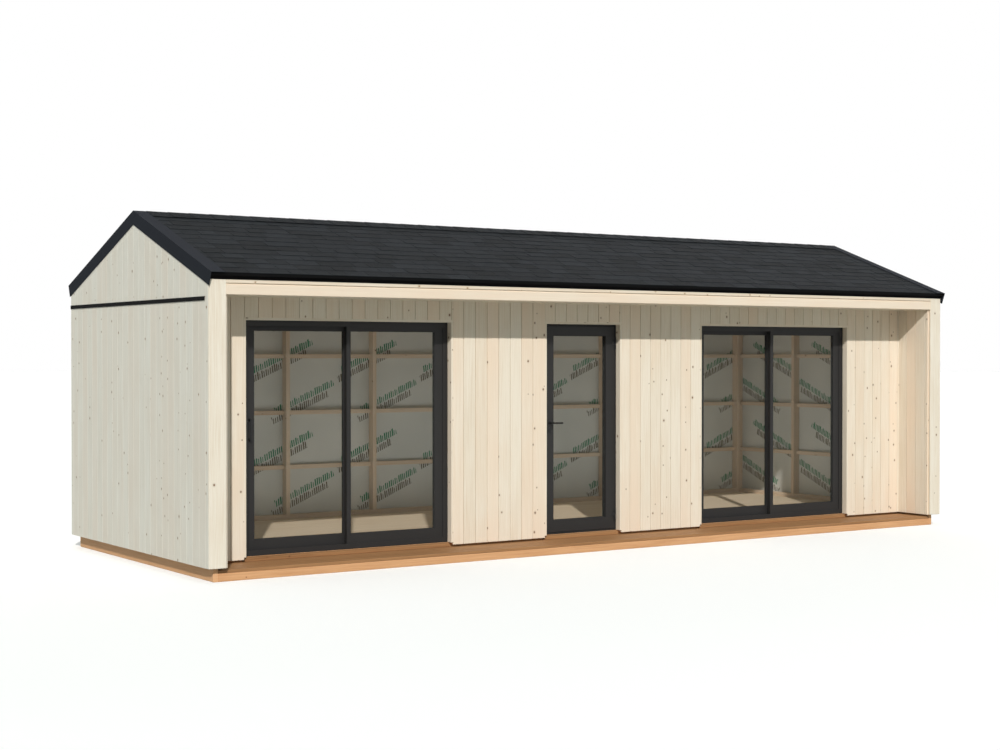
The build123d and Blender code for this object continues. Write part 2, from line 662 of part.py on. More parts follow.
def roof():
    ends = (LEFT - ROOF_END_OVERHANG, RIGHT + ROOF_END_OVERHANG)
    board_eave = DEPTH / 2 + EAVE_OVERHANG - TRIM_SHEET
    roof_slope("roof_boards", SHINGLES, ROOF_BOARD, board_eave, ends)
    shingle_eave = DEPTH / 2 + EAVE_OVERHANG + SHINGLE_DRIP
    roof_slope("shingles", 0.0, SHINGLES, shingle_eave, ends)

    verge_x = LEFT - ROOF_END_OVERHANG - TRIM_SHEET
    verge_reach = DEPTH / 2 + VERGE_OVERHANG
    face = chevron(-TRIM_SHEET, VERGE_FACE - TRIM_SHEET, verge_reach, (verge_x, verge_x + TRIM_SHEET))
    flange = chevron(-TRIM_SHEET, 0.0, verge_reach, (verge_x, verge_x + VERGE_FLANGE))
    verge = face + flange
    save("left_verge_trim", verge)
    save("right_verge_trim", mirror(verge, Plane.YZ))

    cap_x = (verge_x + VERGE_FLANGE, -verge_x - VERGE_FLANGE)
    save("ridge_cap", chevron(-RIDGE_CAP, 0.0, RIDGE_CAP_WIDTH, cap_x))

    trim_y = DEPTH / 2 + EAVE_OVERHANG
    trim_outline = [
        (-trim_y, EAVE_TOP - EAVE_TRIM_DROP),
        (TRIM_SHEET - trim_y, EAVE_TOP - EAVE_TRIM_DROP),
        (TRIM_SHEET - trim_y, roof_line(trim_y - TRIM_SHEET, SHINGLES)),
        (-trim_y, roof_line(trim_y, SHINGLES)),
    ]
    trim = along_x(trim_outline, ends)
    save("eave_trims", [trim, mirror(trim, Plane.XZ)])


def purlin_rows():
    """Middles of the purlins from front to back, one of them under the ridge."""
    bay = DEPTH / 2 / (PURLINS_A_SIDE + 1)
    return [bay * i for i in range(-PURLINS_A_SIDE, PURLINS_A_SIDE + 1)]


def purlin_foot(y):
    """Height of the underside of the purlin in this row."""
    return under_roof(abs(y) + PURLIN_WIDTH / 2) - PURLIN_HEIGHT


def purlins():
    between = (LEFT + STUD_OUT, RIGHT - STUD_OUT)
    half = PURLIN_WIDTH / 2
    rows = purlin_rows()
    save("roof_purlins", [along_x(sloped_top((y - half, y + half), purlin_foot(y)), between) for y in rows])


def porch_beam():
    between = (LEFT + CORNER_FRONT_WIDTH, RIGHT - CORNER_FRONT_WIDTH)
    beam_top = BEAM_FOOT + BEAM_HEIGHT
    rail_foot = beam_top + SHADOW_GAP
    back = FRONT + BEAM_THICKNESS
    beam_outline = [
        (FRONT, BEAM_FOOT),
        (back, BEAM_FOOT),
        (back, rail_foot),
        (FRONT + SHADOW_DEPTH, rail_foot),
        (FRONT + SHADOW_DEPTH, beam_top),
        (FRONT, beam_top),
    ]
    save("porch_beam", along_x(beam_outline, between))
    save("porch_eave_rail", along_x(sloped_top((FRONT, back), rail_foot), between))


def main():
    bearers = foundation()
    room_floor(bearers, porch(bearers[0]))
    end_walls()
    wings()
    back_wall()
    membranes()
    end_wall_frames()
    back_wall_frame()
    save("cladding_battens", battens() + front_wall())
    door_surrounds()
    fixed_panes, tracks = zip(*[slider(side) for side in SLIDER_OPENINGS])
    save("slider_fixed_glass", list(fixed_panes))
    save("slider_tracks", tracks[0] + tracks[1])
    hinged_door()
    roof()
    purlins()
    porch_beam()


main()
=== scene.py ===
import json
from math import ceil, copysign, cos, pi, radians, sin, tan
import random

import bmesh
import bpy
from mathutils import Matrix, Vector


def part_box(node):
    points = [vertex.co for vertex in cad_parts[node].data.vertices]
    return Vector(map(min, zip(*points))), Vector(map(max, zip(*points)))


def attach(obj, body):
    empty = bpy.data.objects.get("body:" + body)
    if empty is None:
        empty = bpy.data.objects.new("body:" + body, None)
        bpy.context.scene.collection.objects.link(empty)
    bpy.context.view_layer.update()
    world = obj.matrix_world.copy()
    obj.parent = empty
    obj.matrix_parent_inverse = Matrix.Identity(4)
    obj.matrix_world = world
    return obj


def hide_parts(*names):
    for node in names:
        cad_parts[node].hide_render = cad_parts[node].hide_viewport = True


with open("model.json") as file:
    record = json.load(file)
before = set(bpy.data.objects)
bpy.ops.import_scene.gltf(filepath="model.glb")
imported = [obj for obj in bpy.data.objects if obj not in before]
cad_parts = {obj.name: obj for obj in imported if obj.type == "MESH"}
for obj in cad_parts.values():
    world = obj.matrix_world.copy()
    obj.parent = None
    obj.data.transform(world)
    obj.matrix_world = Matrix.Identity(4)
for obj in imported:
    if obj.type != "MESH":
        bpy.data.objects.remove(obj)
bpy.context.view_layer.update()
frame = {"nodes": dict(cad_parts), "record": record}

# Looks of a timber garden office: board cladding, shingles, door profiles, glass and the framed room.
# Lengths are metres, in the frame of the CAD model: X along the front, Y to the back, Z up.

# Cladding and floor boards: the width each covers, its open joint and the chamfer on its edges
BOARD_COVER = 0.1348
BOARD_GROOVE = 0.005
BOARD_CHAMFER = 0.0016
END_GROOVE = 0.002
END_CHAMFER = 0.001
GROOVE_DEPTH_SHARE = 0.5
FRONT_GROOVE_X = -3.804
FLOOR_COVER = 0.120
FLOOR_JOINT = 0.0012
WING_BOARD = 0.019
SOFFIT_BOARD = 0.012
BATTEN = (0.022, 0.045)

# Roof: boards under shingles, rows of tabs with their butt and head thickness, caps over the ridge
ROOF_PITCH = radians(20.0)
ROOF_BOARD = 0.019
ROOF_BOARD_COVER = 0.121
SHINGLE_BUILD = 0.008
SHINGLE_ROW = 0.1425
SHINGLE_LAP = 0.03
SHINGLE_GAP = 0.004
SHINGLE_WIDTHS = (0.14, 0.36)
SHINGLE_LEAST = 0.06
TAB_BUTT = 0.0036
TAB_HEAD = 0.0012
TAB_LIFTS = (0.0, 0.0, 0.0014)
TAB_NUDGE = 0.004
UNDERLAY = 0.0007
CAP_EXPOSURE = 0.21
CAP_LAP = 0.03
CAP_BUTT = 0.004
CAP_LEAST = 0.02
# Black sheets of painted shade under the eaves: their thickness, and their foot where the eave's shadow
# ends
EAVE_SHADE_STRIP = 0.003
EAVE_SHADE_FOOT = 2.571

# Doors: how far a pane sits in its leaf, and the width and height of the seal round it
GLASS_REBATE = 0.008
GASKET = 0.005
GASKET_HEIGHT = 0.004

# Mesh work: points nearer than WELD are one, and a joint that starts on a span's edge is skipped
WELD = 0.00002
FLAT_ANGLE = radians(0.6)
SHARP_ANGLE = radians(35.0)
ON_THE_EDGE = 1e-6

# Print on the wall sheet: pairs of slanting rows of plain ticks, a green row over a grey one
PRINT_ANGLE = radians(23.5)
PRINT_SPACING = (1.06, 1.0)
PRINT_PLACES = ((-2.486, 1.734), (-2.226, 1.288))
PRINT_ROWS = ((0.0, 0.0, 0.774), (-0.073, -0.084, 0.735))
PRINT_MARGIN = (0.12, 0.2)
PRINT_TICK = 0.027
PRINT_TICK_HEIGHT = 0.082
PRINT_LEAN = 0.3

# Camera, solved from the photograph's straight edges
CAMERA_AT = (-10.3275, -14.8305, 1.9268)
CAMERA_TURN = radians(-33.762)
CAMERA_TILT = radians(90.0 - 0.667)
CAMERA_LENS = 60.65

# Light: the sun's direction comes from the shadows on the recessed wall, the fill comes from behind
SUN_DIRECTION = Vector((0.406, 0.724, -0.558))
SUN_STRENGTH = 3.15
SUN_ANGLE = radians(1.2)
SUN_COLOUR = (1.0, 0.975, 0.94)
SKY_COLOUR = (0.90, 1.0, 1.0)
SKY_STRENGTH = 0.39
FILL_DIRECTION = Vector((-0.62, -0.76, -0.17))
FILL_STRENGTH = 1.1
FILL_ANGLE = radians(40.0)
FILL_COLOUR = (1.0, 0.935, 0.90)
ROOM_LIGHT = 27.0
ROOM_LIGHT_SIZE = (7.6, 1.5)
ROOM_LIGHT_Y = 0.2
ROOM_LIGHT_RISE = 0.03
ROOM_LIGHT_COLOUR = (0.88, 0.97, 1.0)

record = frame["record"]
BODY_OF = {node: body for body, nodes in record["behaviour"]["bodies"].items() for node in nodes}
SLOT_OF = {row["node"]: row["material_slot"] for row in record["subparts"]}
GROUND_SIZE = 400.0
RIDGE_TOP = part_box("shingles_front")[1][2]
random.seed(11)


class Look:
    """A material being built from nodes."""

    def __init__(self, name):
        self.material = bpy.data.materials.new(name)
        self.material.use_nodes = True
        self.tree = self.material.node_tree
        self.tree.nodes.clear()
        self.output = self.tree.nodes.new("ShaderNodeOutputMaterial")
        self.shader = self.add("ShaderNodeBsdfPrincipled")
        self.tree.links.new(self.shader.outputs["BSDF"], self.output.inputs["Surface"])

    def add(self, kind, inputs=None, **settings):
        node = self.tree.nodes.new(kind)
        for key, value in settings.items():
            setattr(node, key, value)
        self.feed(node, inputs or {})
        return node

    def feed(self, node, inputs):
        for key, value in inputs.items():
            if isinstance(value, bpy.types.NodeSocket):
                self.tree.links.new(value, node.inputs[key])
            else:
                node.inputs[key].default_value = value

    def surface(self, **inputs):
        self.feed(self.shader, {key.replace("_", " "): value for key, value in inputs.items()})

    def math(self, operation, first, second=0.0, clamp=False):
        values = {0: first, 1: second}
        return self.add("ShaderNodeMath", values, operation=operation, use_clamp=clamp).outputs[0]

    def scaled(self, vector, x, y, z=1.0):
        values = {0: vector, 1: (x, y, z)}
        return self.add("ShaderNodeVectorMath", values, operation="MULTIPLY").outputs[0]

    def shine(self, level):
        self.shader.inputs["Specular IOR Level"].default_value = level

    def noise(self, vector, scale, detail=2.0, roughness=0.5):
        inputs = {"Vector": vector, "Scale": scale, "Detail": detail, "Roughness": roughness}
        return self.add("ShaderNodeTexNoise", inputs).outputs["Fac"]

    def span(self, value, low, high, to_low=0.0, to_high=1.0, smooth=False):
        kind = "SMOOTHSTEP" if smooth else "LINEAR"
        inputs = {"Value": value, "From Min": low, "From Max": high, "To Min": to_low,
                  "To Max": to_high}
        return self.add("ShaderNodeMapRange", inputs, interpolation_type=kind).outputs["Result"]

    def mix(self, share, first, second):
        node = self.add("ShaderNodeMix", data_type="RGBA")
        for socket, value in ((node.inputs[0], share), (node.inputs[6], first),
                              (node.inputs[7], second)):
            if isinstance(value, bpy.types.NodeSocket):
                self.tree.links.new(value, socket)
            else:
                socket.default_value = value
        return node.outputs[2]

    def bump(self, height, strength, distance):
        inputs = {"Height": height, "Strength": strength, "Distance": distance}
        return self.add("ShaderNodeBump", inputs).outputs["Normal"]


def rgb(red, green, blue):
    """A colour given as it looks on screen, 0 to 255, for the shader."""
    linear = []
    for value in (red, green, blue):
        share = value / 255.0
        linear.append(share / 12.92 if share <= 0.04045 else ((share + 0.055) / 1.055) ** 2.4)
    return (*linear, 1.0)


def wood(name, light, dark, knot=rgb(116, 86, 61), knots=0.10, grain=0.5, tone=0.5, warm=None):
    """Sawn or planed softwood. The UV map runs across the board in u and along it in v, in metres.

    knots is the share of places that hold one, grain and tone are the strength of the streaks and of
    the difference between boards, and some boards lean to the warm colour.
    """
    look = Look(name)
    uv = look.add("ShaderNodeUVMap", uv_map="grain").outputs["UV"]
    board = look.add("ShaderNodeAttribute", attribute_name="tone").outputs["Fac"]

    # The grain: fine fibres and wider rings that wander across the board, and cloudy patches
    drift = look.noise(look.scaled(uv, 3.0, 0.9), 1.0, 2.0)
    aside = look.add("ShaderNodeCombineXYZ", {"X": look.span(drift, 0.0, 1.0, -0.035, 0.035)})
    bent = look.add("ShaderNodeVectorMath", {0: uv, 1: aside.outputs[0]}, operation="ADD").outputs[0]
    rings = look.noise(look.scaled(bent, 95.0, 1.6), 1.0, 3.0, 0.55)
    fibres = look.noise(look.scaled(bent, 420.0, 9.0), 1.0, 2.0, 0.6)
    cloud = look.noise(look.scaled(uv, 5.0, 1.3), 1.0, 2.0)
    streak = look.math("ADD", look.math("MULTIPLY", rings, 0.7), look.math("MULTIPLY", fibres, 0.3))
    share = look.span(streak, 0.38, 0.66, 0.0, grain)
    share = look.math("ADD", share, look.span(board, 0.0, 1.0, -0.5 * tone, 0.5 * tone))
    share = look.math("ADD", share, look.span(cloud, 0.3, 0.7, -0.16, 0.16), clamp=True)
    colour = look.mix(share, light, dark)
    if warm:
        hue = look.math("FRACT", look.math("MULTIPLY", board, 5.77))
        drifting = look.math("ADD", hue, look.span(cloud, 0.3, 0.7, -0.2, 0.2))
        colour = look.mix(look.span(drifting, 0.35, 1.1, 0.0, 0.7), colour, warm)

    # The knots: one chance in each cell, more on some boards, with a soft ring round each
    cells = {"Vector": look.scaled(uv, 1.0, 0.78), "Scale": 7.3, "Randomness": 1.0}
    cell = look.add("ShaderNodeTexVoronoi", cells, voronoi_dimensions="2D")
    chance = look.add("ShaderNodeSeparateColor", {"Color": cell.outputs["Color"]})
    knotty = look.math("POWER", look.math("FRACT", look.math("MULTIPLY", board, 7.31)), 1.6)
    share_here = look.math("MULTIPLY", knotty, 2.6 * knots)
    present = look.math("LESS_THAN", chance.outputs[0], share_here)
    radius = look.span(chance.outputs[1], 0.0, 1.0, 0.022, 0.064)
    ratio = look.math("DIVIDE", cell.outputs["Distance"], radius)
    core = look.math("MULTIPLY", look.span(ratio, 0.75, 1.1, 1.0, 0.0, smooth=True), present)
    halo = look.math("MULTIPLY", look.span(ratio, 0.9, 2.6, 0.42, 0.0, smooth=True), present)
    colour = look.mix(halo, colour, look.mix(0.5, dark, knot))
    colour = look.mix(core, colour, knot)
    relief = look.math("SUBTRACT", streak, look.math("MULTIPLY", core, 0.6))
    look.surface(Base_Color=colour, Roughness=0.62, Normal=look.bump(relief, 0.25, 0.0012))
    look.shine(0.3)
    return look.material


def shingle_look():
    """Mineral granules on felt, each tab a little lighter or darker, with drawn-out blotches."""
    look = Look("shingle_granules")
    uv = look.add("ShaderNodeUVMap", uv_map="grain").outputs["UV"]
    tab = look.add("ShaderNodeAttribute", attribute_name="tone").outputs["Fac"]
    patch = look.noise(look.scaled(uv, 4.5, 26.0), 1.0, 3.0, 0.6)
    blotch = look.noise(look.scaled(uv, 22.0, 60.0), 1.0, 2.0, 0.6)
    granule = look.noise(uv, 420.0, 2.0, 0.7)
    share = look.math("ADD", look.math("MULTIPLY", tab, 0.45), look.math("MULTIPLY", patch, 0.90))
    share = look.math("ADD", share, look.math("MULTIPLY", blotch, 0.50))
    share = look.math("ADD", share, look.span(granule, 0.3, 0.7, -0.22, 0.22))
    colour = look.mix(look.span(share, 0.50, 1.40), rgb(8, 11, 13), rgb(33, 37, 41))
    look.surface(Base_Color=colour, Roughness=0.93, Normal=look.bump(granule, 0.55, 0.0016))
    look.shine(0.15)
    return look.material


def coated_metal(name, colour, roughness, shine=0.3):
    """Powder coated metal, with its fine orange peel."""
    look = Look(name)
    place = look.add("ShaderNodeTexCoord").outputs["Object"]
    peel = look.noise(place, 900.0, 2.0)
    cloud = look.noise(place, 2.3, 3.0)
    lighter = tuple(1.35 * part for part in colour[:3]) + (1.0,)
    tint = look.mix(look.span(cloud, 0.3, 0.7, 0.0, 0.35), colour, lighter)
    rough = look.span(peel, 0.3, 0.7, roughness - 0.05, roughness + 0.08)
    look.surface(Base_Color=tint, Roughness=rough, Normal=look.bump(peel, 0.12, 0.0004))
    look.shine(shine)
    return look.material


def rubber_look():
    """Black seal rubber, matt and slightly uneven."""
    look = Look("gasket_rubber")
    place = look.add("ShaderNodeTexCoord").outputs["Object"]
    cloud = look.noise(place, 40.0, 2.0)
    look.surface(Base_Color=look.mix(cloud, rgb(16, 16, 16), rgb(30, 30, 30)), Roughness=0.75)
    return look.material


def glass_look():
    """Clear glass, faintly grey, with a polished face."""
    look = Look("door_glass_clear")
    place = look.add("ShaderNodeTexCoord").outputs["Object"]
    haze = look.noise(place, 1.1, 2.0)
    tint = look.mix(haze, rgb(58, 61, 58), rgb(72, 76, 70))
    look.surface(Base_Color=tint, Roughness=0.04, Alpha=0.13)
    look.shader.inputs["IOR"].default_value = 1.5
    look.material.surface_render_method = "BLENDED"
    return look.material


def membrane_look():
    """A pale sheet printed with slanting rows of plain ticks, a green row over a grey one in each pair."""
    look = Look("wall_membrane_sheet")
    uv = look.add("ShaderNodeUVMap", uv_map="grain").outputs["UV"]
    weave = look.noise(uv, 700.0, 2.0)
    # Broad patches of the sheet, a little lighter or darker at random
    broad_patches = look.noise(uv, 1.7, 2.0)
    colour = look.mix(look.span(broad_patches, 0.3, 0.7), rgb(206, 208, 203), rgb(220, 221, 215))
    split = look.add("ShaderNodeSeparateXYZ", {"Vector": uv})
    inks = (rgb(24, 124, 86), rgb(104, 97, 82))
    for column, place in enumerate(PRINT_PLACES):
        local = []
        for axis in (0, 1):
            start = place[axis] - PRINT_MARGIN[axis]
            from_start = look.math("SUBTRACT", split.outputs[axis], start)
            turns = look.math("DIVIDE", from_start, PRINT_SPACING[axis])
            inside = look.math("MULTIPLY", look.math("FRACT", turns), PRINT_SPACING[axis])
            local.append(look.math("SUBTRACT", inside, PRINT_MARGIN[axis]))
        flat = look.add("ShaderNodeCombineXYZ", {"X": local[0], "Y": local[1]}).outputs[0]
        turned = look.add("ShaderNodeVectorRotate", {"Vector": flat, "Angle": -PRINT_ANGLE},
                          rotation_type="Z_AXIS").outputs[0]
        parts = look.add("ShaderNodeSeparateXYZ", {"Vector": turned})
        for line, ((first, foot, length), ink) in enumerate(zip(PRINT_ROWS, inks)):
            along = look.math("SUBTRACT", parts.outputs[0], first)
            above = look.math("SUBTRACT", parts.outputs[1], foot)
            within = look.math("MULTIPLY", look.math("GREATER_THAN", along, 0.0),
                               look.math("LESS_THAN", along, length))
            lean = look.math("SUBTRACT", along, look.math("MULTIPLY", above, PRINT_LEAN))
            step = look.math("DIVIDE", lean, PRINT_TICK)
            number = {"X": look.math("FLOOR", step), "Y": float(column), "Z": float(line)}
            which = look.add("ShaderNodeCombineXYZ", number).outputs[0]
            chance = look.add("ShaderNodeTexWhiteNoise", {"Vector": which}).outputs["Value"]
            wide = look.span(chance, 0.0, 1.0, 0.38, 0.72)
            tick = look.math("LESS_THAN", look.math("FRACT", step), wide)
            tall = look.span(chance, 0.0, 1.0, 0.65 * PRINT_TICK_HEIGHT, PRINT_TICK_HEIGHT)
            band = look.math("MULTIPLY", look.math("GREATER_THAN", above, 0.0),
                             look.math("LESS_THAN", above, tall))
            printed = look.math("MULTIPLY", look.math("MULTIPLY", within, band), tick)
            colour = look.mix(printed, colour, ink)
    look.surface(Base_Color=colour, Roughness=0.8, Normal=look.bump(weave, 0.2, 0.0006))
    return look.material


LOOKS = {
    "front_cladding": wood("spruce_front", rgb(229, 219, 203), rgb(211, 194, 170), knots=0.42,
                           grain=0.6, tone=0.22, warm=rgb(231, 210, 188)),
    # The end-wall spruce is a lighter, greyer copy of the front spruce: painted light that makes up for
    # the weaker sun on the end walls.
    "end_cladding": wood("spruce_end_painted_light", rgb(227, 224, 214), rgb(210, 203, 189), knot=rgb(140, 112, 86),
                         knots=0.32, grain=0.7, tone=0.12, warm=rgb(223, 213, 199)),
    "porch_rail": wood("spruce_rail", rgb(229, 219, 203), rgb(211, 194, 170), knot=rgb(172, 140, 106),
                       knots=0.36, grain=0.6, tone=0.22, warm=rgb(231, 210, 188)),
    "corner_boards": wood("spruce_corner", rgb(230, 222, 208), rgb(213, 198, 176), knots=0.3,
                          grain=0.7, tone=0.1),
    "framing_timber": wood("framing", rgb(224, 204, 180), rgb(202, 173, 144), knots=0.12, grain=0.6),
    "treated_timber": wood("treated", rgb(218, 170, 126), rgb(190, 138, 94), knot=rgb(128, 78, 48),
                           knots=0.14, grain=0.7, tone=0.5),
    "deck": wood("deck", rgb(158, 117, 78), rgb(126, 89, 56), knot=rgb(98, 62, 38), knots=0.12,
                 grain=0.8),
    "floor_spruce": wood("floor", rgb(238, 221, 194), rgb(218, 193, 158), knots=0.12, grain=0.5),
    "membrane": membrane_look(),
    "roof_shingles": shingle_look(),
    "black_flashing": coated_metal("black_flashing", rgb(31, 34, 40), 0.78, shine=0.07),
    "drip": coated_metal("drip_edge", rgb(12, 12, 13), 0.75, shine=0.06),
    "door_profiles": coated_metal("anthracite_profile", rgb(36, 35, 35), 0.55, shine=0.27),
    "glass": glass_look(),
    "door_fittings": coated_metal("black_fitting", rgb(26, 26, 27), 0.4),
    "gasket": rubber_look(),
}


def flood(faces):
    """The faces in groups that hang together, in the order of their first faces."""
    left = set(faces)
    groups = []
    for first in faces:
        if first not in left:
            continue
        left.remove(first)
        group = [first]
        for face in group:
            for edge in face.edges:
                for other in edge.link_faces:
                    if other in left:
                        left.remove(other)
                        group.append(other)
        groups.append(group)
    return groups


def solid_spans(node, axis):
    """Low and high of each separate solid of a node along one axis."""
    work = bmesh.new()
    work.from_mesh(frame["nodes"][node].data)
    bmesh.ops.remove_doubles(work, verts=work.verts, dist=WELD)
    spans = []
    for group in flood(work.faces):
        values = [vert.co[axis] for face in group for vert in face.verts]
        spans.append((min(values), max(values)))
    work.free()
    return sorted(spans)


def layers(work):
    """The two layers that the looks read: the place in the grain and the tone."""
    return work.loops.layers.uv.new("grain"), work.loops.layers.float_color.new("tone")


def own_look(length=40.0):
    """A random start in the grain and a random tone, for one board, tab or cap."""
    start = (random.uniform(0.0, 9.0), random.uniform(0.0, length))
    return start, random.random()


def paint(loop, marks, start, place, shade):
    """Writes one corner's place in the grain, and its tone."""
    grain, tone = marks
    loop[grain].uv = (place[0] + start[0], place[1] + start[1])
    loop[tone] = (shade, shade, shade, 1.0)


def grain_map(faces, along, marks):
    """Runs the grain along one axis of a solid: u across it and v along it."""
    start, shade = own_look()
    for face in faces:
        normal = [abs(part) for part in face.normal]
        facing = normal.index(max(normal))
        across = [axis for axis in (0, 1, 2) if axis not in (facing, along)][-1]
        for loop in face.loops:
            point = loop.vert.co
            paint(loop, marks, start, (point[across], point[along]), shade)


def wall_map(faces, marks):
    """A map in wall coordinates, so that a printed sheet runs on past its studs."""
    for face in faces:
        end_wall = abs(face.normal.x) > abs(face.normal.y)
        for loop in face.loops:
            point = loop.vert.co
            flat = copysign(1.0, point.x) * point.y if end_wall else point.x
            paint(loop, marks, (0.0, 0.0), (flat, point.z), 0.5)


def finish_piece(name, work, slot, body, replaced=(), look=None):
    """Turns a bmesh into a named piece that rides on its body."""
    mesh = bpy.data.meshes.new(name)
    work.to_mesh(mesh)
    work.free()
    piece = bpy.data.objects.new(name, mesh)
    bpy.context.scene.collection.objects.link(piece)
    mesh.materials.append(LOOKS[look or slot])
    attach(piece, body)
    if replaced:
        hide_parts(*replaced)
    return piece


def dress(node, bevel, segments=1, printed=False, smooth=False, look=None):
    """Replaces a CAD node by the same shape with eased edges and a grain along each of its solids."""
    work = bmesh.new()
    work.from_mesh(frame["nodes"][node].data)
    bmesh.ops.remove_doubles(work, verts=work.verts, dist=WELD)
    bmesh.ops.dissolve_limit(work, angle_limit=FLAT_ANGLE, verts=work.verts, edges=work.edges)
    if bevel:
        sharp = [edge for edge in work.edges
                 if len(edge.link_faces) == 2 and edge.calc_face_angle() > SHARP_ANGLE]
        bmesh.ops.bevel(work, geom=sharp, offset=bevel, segments=segments, affect="EDGES",
                        clamp_overlap=True)
    work.normal_update()
    marks = layers(work)
    for group in flood(work.faces):
        points = [vert.co for face in group for vert in face.verts]
        sizes = [max(point[axis] for point in points) - min(point[axis] for point in points)
                 for axis in (0, 1, 2)]
        if printed:
            wall_map(group, marks)
        else:
            grain_map(group, sizes.index(max(sizes)), marks)
    if smooth:
        for face in work.faces:
            face.smooth = True
    piece = finish_piece(f"{node}_finish", work, SLOT_OF[node], BODY_OF[node], (node,), look)
    if smooth:
        piece.data.set_sharp_from_angle(angle=SHARP_ANGLE)


def plank(work, marks, profile, ends, place):
    """One board: its profile as (across, out) points, run between two end functions of across."""
    start, shade = own_look()
    rings = []
    for end in ends:
        rings.append([(across, out, end(across)) for across, out in profile])
    verts = [[work.verts.new(place(*point)) for point in ring] for ring in rings]
    count = len(profile)
    faces = []
    for i in range(count):
        k = (i + 1) % count
        faces.append(([verts[0][i], verts[0][k], verts[1][k], verts[1][i]],
                      [rings[0][i], rings[0][k], rings[1][k], rings[1][i]]))
    faces.append((verts[0][::-1], rings[0][::-1]))
    faces.append((verts[1], rings[1]))
    for corners, local in faces:
        face = work.faces.new(corners)
        for loop, (across, out, run) in zip(face.loops, local):
            paint(loop, marks, start, (across + out, run), shade)


def board_edges(low, high, cover, phase, joint):
    """Where the boards of one span begin and end, with none narrower than its joints."""
    edges = [low]
    first = phase + cover * ceil((low - phase) / cover + ON_THE_EDGE)
    while first < high - 2 * joint:
        if first > low + 2 * joint:
            edges.append(first)
        first += cover
    return edges + [high]


def boards(name, node, spans, thickness, place, cover, phase, joint=BOARD_GROOVE,
           ease=BOARD_CHAMFER, replaced=True):
    """Tongued boards side by side over spans of (low, high, foot, top), foot and top functions."""
    work = bmesh.new()
    marks = layers(work)
    step_back = thickness * (1.0 - GROOVE_DEPTH_SHARE)
    for low, high, foot, top in spans:
        edges = board_edges(low, high, cover, phase, joint)
        for left, right in zip(edges[:-1], edges[1:]):
            lip = right - joint if right != high else right
            profile = [(left, 0.0), (right, 0.0), (right, step_back), (lip, step_back),
                       (lip, thickness - ease), (lip - ease, thickness), (left + ease, thickness),
                       (left, thickness - ease)]
            if lip == right:
                profile.pop(3)
            plank(work, marks, profile, (foot, top), place)
    bmesh.ops.recalc_face_normals(work, faces=work.faces)
    finish_piece(name, work, SLOT_OF[node], BODY_OF[node], (node,) if replaced else ())


def level(height):
    """An end function that stays at one value."""
    def end(across):
        return height
    return end


def under_roof(y):
    """Height of the underside of the roof boards, also an end function."""
    return RIDGE_TOP - abs(y) * tan(ROOF_PITCH) - (SHINGLE_BUILD + ROOF_BOARD) / cos(ROOF_PITCH)


def on_wall(axis, base, outward):
    """Stands boards on a plane across X (axis 0) or Y (axis 1), their faces looking outward."""
    def place(across, out, run):
        depth = base + outward * out
        return (depth, across, run) if axis == 0 else (across, depth, run)
    return place


def lying(base, upward):
    """Lays boards along X on a level plane, their faces looking up or down."""
    def place(across, out, run):
        return (run, across, base + upward * out)
    return place


def front_cladding():
    """Upright boards on the recessed front wall, between and over the doors."""
    low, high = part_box("front_wall_piers")
    place = on_wall(1, high[1], -1.0)
    thickness = high[1] - low[1]
    top = level(under_roof(low[1]))
    for name, node in (("front_wall_pier_boards", "front_wall_piers"),
                       ("front_wall_over_door_boards", "front_wall_over_doors")):
        foot = level(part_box(node)[0][2])
        spans = [(left, right, foot, top) for left, right in solid_spans(node, 0)]
        boards(name, node, spans, thickness, place, BOARD_COVER, FRONT_GROOVE_X)


def back_and_end_cladding():
    """Upright boards on the back wall, the end walls and the gables over them."""
    low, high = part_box("back_wall_cladding")
    spans = [(low[0], high[0], level(low[2]), level(under_roof(high[1])))]
    boards("back_wall_boards", "back_wall_cladding", spans, high[1] - low[1],
           on_wall(1, low[1], 1.0), BOARD_COVER, low[0])

    for side in ("left", "right"):
        first_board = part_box(f"{side}_wall_cladding")[0][1]
        for part in ("wall_cladding", "gable"):
            node = f"{side}_{part}"
            low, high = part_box(node)
            top = under_roof if part == "gable" else level(high[2])
            place = on_wall(0, high[0], -1.0) if side == "left" else on_wall(0, low[0], 1.0)
            boards(f"{node}_boards", node, [(low[1], high[1], level(low[2]), top)],
                   high[0] - low[0], place, BOARD_COVER, first_board, END_GROOVE, END_CHAMFER)


def wing_linings():
    """Upright boards on the inner faces of the wings, up to the beam and then to the roof."""
    low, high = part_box("wing_linings")
    beam_low, beam_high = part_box("porch_beam")
    spans = [(low[1], beam_high[1], level(low[2]), level(beam_low[2])),
             (beam_high[1], high[1], level(low[2]), under_roof)]
    left, right = solid_spans("wing_linings", 0)
    for name, base, outward in (("left", left[0], 1.0), ("right", right[1], -1.0)):
        boards(f"{name}_wing_boards", "wing_linings", spans, WING_BOARD, on_wall(0, base, outward),
               BOARD_COVER, high[1])


def porch_soffit():
    """Level boards over the porch, between its beam and the wall, flush with the beam's foot."""
    beam_low, beam_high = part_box("porch_beam")
    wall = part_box("front_wall_piers")[0][1]
    left, right = solid_spans("wing_linings", 0)
    spans = [(beam_high[1], wall, level(left[1]), level(right[0]))]
    boards("porch_soffit_boards", "porch_beam", spans, SOFFIT_BOARD,
           lying(beam_low[2] + SOFFIT_BOARD, -1.0), BOARD_COVER, wall, replaced=False)


